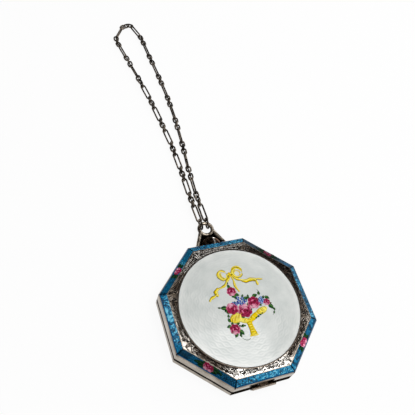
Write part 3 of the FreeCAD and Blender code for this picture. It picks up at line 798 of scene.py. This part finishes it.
# leaves as x, y, angle, length; pairs of leaves and sizes of roses on each diagonal side
sprigLook = dict(
    leaves=[
        (2.2, 0.35, 14, 1.9), (2.3, -0.45, -16, 1.9), (3.4, 0.1, 4, 1.6), (1.6, 0.7, 30, 1.2),
        (1.6, -0.7, -30, 1.2), (4.3, -0.1, -6, 1.0),
    ],
    pairs=(6, 2, 6, 2), sizes=(0.92, 0.88, 1.0, 1.0), plump=0.32,
)


def sprigStrokes(turn, pairs, size):
    # mirrored pairs of leaves with two roses over them
    made = []
    for hand in (-1, 1):
        for x, y, angle, length in sprigLook["leaves"][:pairs]:
            a = angle if hand > 0 else 180 - angle
            made += leafStrokes(hand * (x + size - 0.9), y, a, length, sprigLook["plump"], "night")
    made += roseStrokes(0.85 * size, -0.1, 0.86 * size ** 2, turn + 60)
    return made + roseStrokes(-0.55 * size, 0.05, size, turn)


# painted shade: dimmer on the two sides in shade; paler on the right
sprigPaint = (
    paintFinish("shadedPaint", strength=0.4), enamelPaint,
    paintFinish("dimPaint", strength=0.66), paintFinish("palerPaint", strength=1.3),
)
for side, (pairs, size, paint) in enumerate(zip(sprigLook["pairs"], sprigLook["sizes"], sprigPaint)):
    sprigName = "paintedSprig%d" % (side + 1)
    painted = strokeMesh(sprigName, sprigStrokes(40.0 * side, pairs, size), onBevel(side))
    addPiece(sprigName, painted, paint, "lid")
print("bevel roses painted")

# engraving of the corners: dark cuts, and bright cuts whose pale tone is a painted highlight, on the sunk ground
engraveLook = dict(
    dark="0b0806", brown="2a1c14", bright="fffaf2", dull="8a7c6d", tarnishAndShadeCut="4a3c32", lift=0.008, fanFoot=21.0,
    fanTip=22.9, scrollAt=21.55, scrollAside=1.35, scrollRadius=0.62, cuts=26, cutLean=52, vineSteps=10,
)


def brightCut(degrees):
    # painted highlight where the first lobes lie, darker where the second lie, partly tarnish and partly painted
    # dark reflection, dull elsewhere
    if lobesAt(degrees, silverLook["highlightLobes"]) > 0.5:
        return engraveLook["bright"]
    return engraveLook["tarnishAndShadeCut"] if lobesAt(degrees, silverLook["tarnishAndShade"]) > 0.4 else engraveLook["dull"]


def borderRadius(away):
    # border apothem over the cosine of the angle from the side's middle
    half = case["sideAngle"] / 2
    return case["borderApothem"] / ray(half - min(away, half))[0]


def cornerStrokes(middle, at):
    # seven leaves, the outer ones shorter, every second one dark
    made = []
    for k in range(-3, 4):
        foot, tip = at(engraveLook["fanFoot"], 0.16 * k), at(engraveLook["fanTip"] - 0.28 * abs(k), 0.3 * k)
        path = throughPoints([foot, (foot + tip) / 2 + 0.05 * k * at(0, 1), tip])
        # every other leaf in the bright-cut tone, a painted highlight where the ground has one
        tone = engraveLook["dark"] if k % 2 else brightCut(middle)
        made.append(stroke(path, taper(0.12), tone, lift=engraveLook["lift"] + 0.004 * (k % 2)))
    return made


def stripStrokes(middle, hand, at):
    # a scroll of shrinking radius, crossed cuts with a bright one by each, and a vine
    dark, brown, lift = (engraveLook[key] for key in ("dark", "brown", "lift"))
    turn = np.linspace(0, 2.6 * math.pi, strokeRows)
    around = turn * hand + math.radians(middle)
    coil = engraveLook["scrollRadius"] * (1 - 0.28 * turn / math.pi) * np.stack([np.cos(around), np.sin(around)])
    scroll = at(engraveLook["scrollAt"], engraveLook["scrollAside"] * hand) + coil.T
    made = [stroke(scroll, taper(0.15, 0.35), dark, lift=lift)]
    inner = case["collarRadius"] + 0.05
    for k in range(engraveLook["cuts"]):
        # away is the angle from the corner
        away = 4.6 + 0.7 * k + 0.25 * rng.random()
        angle = middle + hand * away
        room = borderRadius(away) - inner
        c, s = ray(angle)
        radial = inner + room * (0.5 + 0.26 * (-1) ** k + 0.1 * (rng.random() - 0.5))
        x, y = radial * c, radial * s
        lean = angle + 90 + engraveLook["cutLean"] * hand * (1 if k % 2 else -1) + 25 * (rng.random() - 0.5)
        size = 0.55 * room + 0.12
        half = taper(0.17 + 0.05 * rng.random(), 0.6, 0.4)
        made.append(stroke(dabPath(x, y, lean, size, 0.1), half, dark if rng.random() < 0.75 else brown, lift=lift))
        # beside each cut its bright facet in the bright-cut tone: a painted highlight where the ground has one
        c, s = ray(angle + math.degrees(1))
        bright = (x + 0.16 * c, y + 0.16 * s, lean + 18, size * 0.7, 0.06)
        made.append(dab(bright, 0.06, 0.6, brightCut(angle), lift=lift + 0.005))
    vine = []
    for k in range(engraveLook["vineSteps"]):
        away = 4.2 + 2.05 * k
        radial = (borderRadius(away) + case["collarRadius"]) / 2 + 0.16 * (-1) ** k
        vine.append(radial * np.array(ray(middle + hand * away)))
    for points, tone in ((vine[:6], dark), (vine[5:], brown)):
        made.append(stroke(throughPoints(points), taper(0.07, 0.3), tone, lift=lift))
    return made


def engravedStrokes():
    # a fan in each corner, and on either hand a strip that runs to the middle of the side
    made = []
    for corner in range(case["sides"]):
        middle = case["sideAngle"] * (corner + 0.5)

        def at(radial, aside):
            # radial out from the axis towards the corner, aside to its left
            c, s = ray(middle)
            return np.array([radial * c - aside * s, radial * s + aside * c])
        made += cornerStrokes(middle, at)
        for hand in (-1, 1):
            made += stripStrokes(middle, hand, at)
    return made


def onCorner(local):
    # own height added to that of the sunk ground
    return local + np.array([0, 0, case["cornerFloor"]])


engraving = paintFinish("engravedSilver", 0.5, 0.35)
cuts = strokeMesh("engravedCorners", engravedStrokes(), onCorner)
addPiece("engravedCorners", cuts, engraving, "lid")
print("corners engraved")

# inside: catch spring, puff and ribbon
springLow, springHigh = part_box("catch_spring")
springLook = dict(
    thick=0.25, foot=1.4, footFront=23.4, noseHalf=1.8, leafTop=2.95, noseHeight=0.45, steps=25, noseSteps=8,
)


def boxGrid(low, high, steps):
    # a closed box as a square tube along x with capped ends
    x = np.linspace(low[0], high[0], steps)
    ring = np.array([(low[1], low[2]), (high[1], low[2]), (high[1], high[2]), (low[1], high[2])])
    points = np.concatenate([np.repeat(x[:, None, None], 4, 1), np.broadcast_to(ring, (steps, 4, 2))], -1)
    last = 4 * (steps - 1)
    caps = np.array([[0, 3, 2, 1], [last, last + 1, last + 2, last + 3]])
    return points.reshape(-1, 3), np.concatenate([gridQuads(steps, 4)[:, ::-1], caps])


def makeSpring():
    # leaf, foot, upright and nose, as in the CAD spring
    lowX, backY, lowZ = springLow / mm
    highX, frontY, highZ = springHigh / mm
    leafFront, leafTop = backY + springLook["thick"], springLook["leafTop"]
    half, noseSteps = springLook["noseHalf"], springLook["noseSteps"]
    boxes = [
        ((lowX, backY, lowZ), (highX, leafFront, leafTop), springLook["steps"]),
        ((lowX, leafFront, lowZ), (lowX + springLook["foot"], springLook["footFront"], leafTop), 2),
        ((-half, backY, leafTop), (half, leafFront, highZ), noseSteps),
        ((-half, leafFront, highZ - springLook["noseHeight"]), (half, frontY, highZ), noseSteps),
    ]
    points, quads = zip(*(boxGrid(*box) for box in boxes))
    starts = np.cumsum([0] + [len(p) for p in points])
    mesh = makeMesh("catchLeaf", np.concatenate(points), np.concatenate([q + k for q, k in zip(quads, starts)]))
    mesh.polygons.foreach_set("use_smooth", np.zeros(len(mesh.polygons), bool))
    return mesh


catchLeaf = addPiece("catchLeaf", makeSpring(), caseSilver, None, ["catch_spring"])
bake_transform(catchLeaf)

puffLow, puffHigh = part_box("powder_puff")
puffLook = dict(
    bulge=0.6, sole=0.35, crown=1.0, around=180, pile=0.10, flat=0.06, seed=5, waves=9,
    colour="efe2d4", shade="cdb8a4",
)


def fuzz(points):
    # sum of a few sines of the place: a nap with no seams
    waves = np.random.default_rng(puffLook["seed"])
    total = np.zeros(len(points))
    for k in range(puffLook["waves"]):
        direction = waves.normal(size=3)
        direction *= (1.2 + 0.8 * k) / np.linalg.norm(direction)
        total += np.sin(points @ direction + waves.uniform(0, 6.28)) / (1 + 0.35 * k)
    return puffLook["pile"] * total / 3


def makePuff():
    # sole, swelling side and crown as in the CAD puff, with a nap outside
    r, low, high = puffHigh.x / mm, puffLow.z / mm, puffHigh.z / mm
    bulge = puffLook["bulge"]
    face = r - bulge
    soleEdge, crownEdge = low + puffLook["sole"], high - puffLook["crown"]
    t = np.linspace(0, 1, 14)
    sole = np.stack([face * t, low + puffLook["sole"] * t ** 2], -1)
    swell = np.linspace(-1, 1, 13)[1:-1]
    sideHeight = (soleEdge + crownEdge) / 2 + swell * (crownEdge - soleEdge) / 2
    side = np.stack([face + bulge * (1 - swell ** 2), sideHeight], -1)
    u = np.linspace(1, 0, 20)
    crown = np.stack([face * u, crownEdge + puffLook["crown"] * (1 - u ** 2)], -1)
    points, quads, tris = spin(np.concatenate([sole, side, crown]), puffLook["around"])
    inward = points / np.maximum(np.linalg.norm(points, axis=1, keepdims=True), 1e-6) * np.array([1, 1, 0.3])
    nap = puffLook["flat"] + np.abs(fuzz(points))
    points -= inward * nap[:, None] * (points[:, 2:] > soleEdge)
    return makeMesh("powderPuff", points, quads, tris)


plush = mottled(
    "puffPlush", (2.4, 6, 0.7), [(0.35, puffLook["shade"]), (0.65, puffLook["colour"])],
    {"Roughness": 0.95, "Sheen Weight": 0.6, "Sheen Roughness": 0.5}, 0.9, 0.0006,
)
puff = addPiece("powderPuff", makePuff(), plush, "base", ["powder_puff"])

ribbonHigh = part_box("puff_ribbon")[1]
bandLook = dict(
    thick=0.16, colour="d98a98", shade="b0596c", steps=48, sides=13, sideGap=0.05, endGap=0.1, topGap=0.02,
    sink=0.12, crease=0.03, creaseWaves=2.1, threads=38.0,
)


def makeBand():
    # a thin closed profile carried along an arc over the puff's crown
    half, reach = ribbonHigh.x / mm - bandLook["sideGap"], ribbonHigh.y / mm - bandLook["endGap"]
    top = ribbonHigh.z / mm - bandLook["topGap"]
    y = np.linspace(-reach, reach, bandLook["steps"])[:, None]
    n = bandLook["sides"]
    upper = np.linspace(-half, half, n)
    across = np.concatenate([upper, np.linspace(half, -half, n)])
    level = np.repeat([bandLook["thick"] / 2, -bandLook["thick"] / 2], n)
    level[:n] += bandLook["crease"] * np.cos(upper * bandLook["creaseWaves"])
    fall = puffLook["crown"] / (reach + bandLook["endGap"]) ** 2
    height = top - bandLook["sink"] - fall * (y ** 2 + across ** 2 * 0.9) + level
    rows = np.stack([np.broadcast_to(across, height.shape), np.broadcast_to(y, height.shape), height], -1)
    k = np.arange(n - 1)
    startCap = np.stack([k, k + 1, 2 * n - 2 - k, 2 * n - 1 - k], -1)
    endCap = (len(y) - 1) * 2 * n + startCap[:, ::-1]
    quads = np.concatenate([gridQuads(len(y), 2 * n)[:, ::-1], startCap, endCap])
    return makeMesh("puffRibbon", rows.reshape(-1, 3), quads)


def bandFinish():
    # fine threads across, over a cloudy tone
    shader, vector, _, y = newFinish("satinRibbon")[:4]
    thread = calc("SINE", times(y, bandLook["threads"]))
    weave = calc("MULTIPLY_ADD", thread, 0.25, noise(vector, 0.9, 3))
    colour = ramp(weave, [(0.25, bandLook["shade"]), (0.75, bandLook["colour"])])
    sockets = {"Base Color": colour, "Roughness": 0.38, "Sheen Weight": 0.3}
    return finished(shader, sockets, thread, 0.15, 0.00005)


addPiece("puffRibbon", makeBand(), bandFinish(), "base", ["puff_ribbon"])
print("inside made")

# finishes on the CAD nodes that stay
mirrorTone = (0.86, 0.88, 0.87, 1)
powderLook = dict(shade="d3a58c", light="e6c0a8", lattice=1.5)
cardColour, tinBright, tinWorn = "7d6f5e", "d9d9d6", "b4b3ae"


def dress(finish, *names):
    # gives the named nodes this finish alone
    for name in names:
        data = nodes[name].data
        data.materials.clear()
        data.materials.append(finish)


def mirrorFinish():
    # bright metal with a little fog
    shader, vector = newFinish("mirrorGlass")[:2]
    fog = mapped(noise(vector, 0.25, 5, 0.7), 0.4, 0.75, 0.01, 0.06)
    return finished(shader, {"Base Color": mirrorTone, "Metallic": 1.0, "Roughness": fog})


def powderFinish():
    # grain with a lattice: sine of x + y times sine of x - y
    shader, vector, x, y = newFinish("pressedPowder")[:4]
    grain = noise(vector, 7.0, 5, 0.7)
    ways = (plus(x, y), calc("SUBTRACT", x, y))
    lattice = times(*(calc("SINE", times(way, powderLook["lattice"])) for way in ways))
    colour = ramp(grain, [(0.3, powderLook["shade"]), (0.7, powderLook["light"])])
    relief = calc("MULTIPLY_ADD", lattice, 0.6, grain)
    return finished(shader, {"Base Color": colour, "Roughness": 0.92}, relief, 0.4, 0.0002)


panTin = silverFinish("panTin", outside=False, bright=tinBright, worn=tinWorn)
innerSilver = silverFinish("innerSilver", outside=False)
dress(lidSilver, "lid_shell")
dress(hingeSilver, "base_knuckles", "lid_knuckle", "hinge_pin")
dress(caseSilver, "base_shell")
dress(innerSilver, "closing_rim", "powder_well", "mirror_frame", "catch_plate", "push_washer")
dress(blueEnamel, "plain_enamel_panels")
dress(deepEnamel, "rose_enamel_panels")
dress(mirrorFinish(), "mirror_glass")
dress(plainFinish("backingCard", cardColour, 0.9), "mirror_card")
dress(panTin, "powder_pan")
dress(powderFinish(), "pressed_powder")
dress(lugSilver, "chain_lug")
dress(pushSilver, "push_piece")
dress(chainSilver, *[n for n in nodes if "_links" in n])
print("CAD nodes dressed")

# floor, light and camera; sky runs from below the horizon to the zenith
stageLook = dict(
    size=1.2, below=0.02, floor=0.95, glow=0.93, world=1.15, brightest=-50.0,
    sky=[
        (0.0, [0.7] * 3), (0.4, [0.6] * 3), (0.62, (0.3, 0.29, 0.28)), (0.78, (0.1, 0.095, 0.09)),
        (0.92, [0.12] * 3), (1.0, [0.6] * 3),
    ],
)
# lamps: name, place, target, size and power
lampLook = [
    ("softTop", (0.1, -0.03, 0.45), (0.1, -0.03, 0), (0.22, 0.28), 1.15),
    ("softBack", (0.3, 0.34, 0.3), (0, 0, 0.005), (0.2, 0.2), 0.6),
    ("softFront", (0.18, -0.3, 0.37), (0, -0.02, 0.005), (0.12, 0.12), 0.05),
    ("softLeft", (-0.29, 0.16, 0.4), (-0.02, 0, 0.005), (0.05, 0.16), 0.06),
]
cameraLook = dict(
    place=(-0.06568, -0.05708, 0.17198), ahead=(0.3327, 0.4749, -0.8147), up=(0.1504, 0.8261, 0.5430),
    sensor=36.0, lens=48.88, near=0.005, far=10,
)


def makeFloor():
    # matt to the light, nearly white to camera and mirrors
    half, low = stageLook["size"] / 2 / mm, -stageLook["below"]
    corners = np.array([(-half, -half, low), (half, -half, low), (half, half, low), (-half, half, low)])
    mesh = makeMesh("floor", corners, np.array([[0, 1, 2, 3]]))
    floor = bpy.data.objects.new("floor", mesh)
    scene.collection.objects.link(floor)
    startTree(bpy.data.materials.new("paleFloor"))
    output = put("OutputMaterial")
    matt = put("BsdfDiffuse", {0: (stageLook["floor"],) * 3 + (1,)})
    glow = put("Emission", {0: (1, 1, 1, 1), 1: 1.0})
    path = put("LightPath")
    seen = calc("MAXIMUM", path.outputs["Is Camera Ray"], path.outputs["Is Glossy Ray"])
    seen = times(calc("MAXIMUM", seen, path.outputs["Is Transmission Ray"]), stageLook["glow"])
    mixed = put("MixShader", {0: seen, 1: matt.outputs[0], 2: glow.outputs[0]})
    plug(output, {0: mixed.outputs[0]})
    mesh.materials.append(active["owner"])


def makeWorld():
    # a dim room for light and mirrors, white to the camera
    scene.world = bpy.data.worlds.new("studio")
    startTree(scene.world)
    output = put("OutputWorld")
    path = put("LightPath")
    direction = put("SeparateXYZ", {0: put("TexCoord").outputs["Generated"]}).outputs
    soft = ramp(mapped(direction[2], -0.2, 1.0, 0.0, 1.0), stageLook["sky"])
    # brighter towards the right front, dimmer towards the back left
    aimX, aimY = ray(stageLook["brightest"])
    toward = plus(times(direction[0], aimX), times(direction[1], aimY))
    level = times(calc("MULTIPLY_ADD", toward, 0.6, 0.8), stageLook["world"])
    room = put("Background", {0: soft, 1: level})
    white = put("Background", {0: (1, 1, 1, 1), 1: 1.0})
    mixed = put("MixShader", {0: path.outputs["Is Camera Ray"], 1: room.outputs[0], 2: white.outputs[0]})
    plug(output, {0: mixed.outputs[0]})


def addLamp(name, place, target, size, power):
    # a soft rectangle of light that faces target
    data = bpy.data.lights.new(name, "AREA")
    data.shape = "RECTANGLE"
    data.size, data.size_y = size
    data.energy = power
    lamp = bpy.data.objects.new(name, data)
    lamp.location = place
    lamp.rotation_euler = (Vector(target) - Vector(place)).to_track_quat("-Z", "Y").to_euler()
    scene.collection.objects.link(lamp)


def addCamera():
    # the photograph's view, fitted to the octagon's corners
    data = bpy.data.cameras.new("camera")
    data.sensor_width, data.lens = cameraLook["sensor"], cameraLook["lens"]
    data.clip_start, data.clip_end = cameraLook["near"], cameraLook["far"]
    camera = bpy.data.objects.new("camera", data)
    ahead, up = Vector(cameraLook["ahead"]).normalized(), Vector(cameraLook["up"])
    up = (up - ahead * up.dot(ahead)).normalized()
    turn = Matrix((ahead.cross(up), up, -ahead)).transposed().to_4x4()
    camera.matrix_world = Matrix.Translation(cameraLook["place"]) @ turn
    scene.collection.objects.link(camera)
    scene.camera = camera


makeFloor()
makeWorld()
for lamp in lampLook:
    addLamp(*lamp)
addCamera()
print("stage set")
